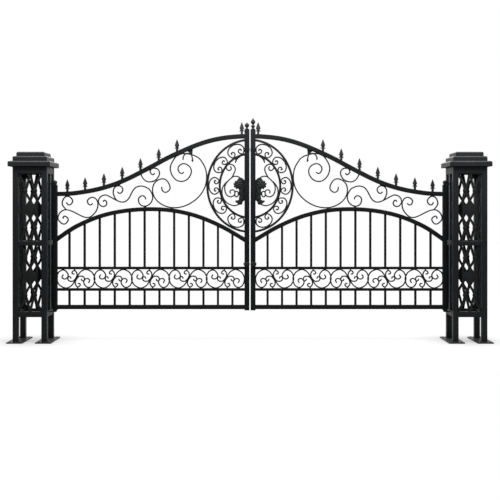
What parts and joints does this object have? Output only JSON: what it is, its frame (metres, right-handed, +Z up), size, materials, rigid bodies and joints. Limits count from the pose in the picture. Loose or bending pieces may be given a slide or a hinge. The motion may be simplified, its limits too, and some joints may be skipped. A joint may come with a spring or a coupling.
{
  "type": "double swing driveway gate",
  "caption": "Double swing driveway gate: arched leaves of pickets, spears and scrollwork that meet under an oval medallion, hung between open lattice posts with stepped caps.",
  "frame": {"origin": "centre of the underside of the left post's inner base plate, on the paving", "axes": "+X along the closed gate from the left post to the right post, +Y through the gate away from the viewer, +Z up"},
  "size_m": [4.3, 0.39, 2.011],
  "materials": {
    "post_paint": "satin black powder coat on welded steel box section",
    "lattice_paint": "satin black powder coat on cast iron bars",
    "leaf_paint": "satin black powder coat on welded steel box section",
    "scroll_paint": "satin black powder coat on forged bar",
    "casting_paint": "satin black powder coat on fine iron castings",
    "hinge_steel": "satin black painted steel",
    "bolt_steel": "black painted steel rod, polished where it slides"
  },
  "bodies": {
    "posts": {"left_post_frame": "post_paint", "left_post_front_lattice": "lattice_paint", "left_post_back_lattice": "lattice_paint", "left_post_inner_lattice": "lattice_paint", "left_post_outer_lattice": "lattice_paint", "left_post_cap": "post_paint", "left_base_plates": "post_paint", "left_hinges": "hinge_steel", "right_post_frame": "post_paint", "right_post_front_lattice": "lattice_paint", "right_post_back_lattice": "lattice_paint", "right_post_inner_lattice": "lattice_paint", "right_post_outer_lattice": "lattice_paint", "right_post_cap": "post_paint", "right_base_plates": "post_paint", "right_hinges": "hinge_steel"},
    "left_leaf": {"left_hinge_stile": "leaf_paint", "left_meeting_stile": "leaf_paint", "left_top_rail": "leaf_paint", "left_arched_rail": "leaf_paint", "left_lower_rails": "leaf_paint", "left_pickets": "leaf_paint", "left_scroll_band": "scroll_paint", "left_spears": "casting_paint", "left_crest_scrolls": "scroll_paint", "left_medallion_ring": "scroll_paint", "left_heart_scrolls": "scroll_paint", "left_leaf_ornament": "casting_paint", "left_finial": "casting_paint", "latch_barrel": "hinge_steel"},
    "right_leaf": {"right_hinge_stile": "leaf_paint", "right_meeting_stile": "leaf_paint", "right_top_rail": "leaf_paint", "right_arched_rail": "leaf_paint", "right_lower_rails": "leaf_paint", "right_pickets": "leaf_paint", "right_scroll_band": "scroll_paint", "right_spears": "casting_paint", "right_crest_scrolls": "scroll_paint", "right_medallion_ring": "scroll_paint", "right_heart_scrolls": "scroll_paint", "right_leaf_ornament": "casting_paint", "right_finial": "casting_paint", "latch_keeper": "hinge_steel"},
    "bolt": {"latch_bolt": "bolt_steel"}
  },
  "joints": [
    {"name": "left_leaf_hinge", "type": "hinge", "parent": "posts", "child": "left_leaf", "pos_m": [0.066, 0, 0.275], "axis": [0, 0, 1], "range_deg": [-90, 90]},
    {"name": "right_leaf_hinge", "type": "hinge", "parent": "posts", "child": "right_leaf", "pos_m": [3.584, 0, 0.275], "axis": [0, 0, 1], "range_deg": [-90, 90]},
    {"name": "latch_slide", "type": "slide", "parent": "left_leaf", "child": "bolt", "axis": [1, 0, 0], "range_m": [0, 0.032]}
  ]
}
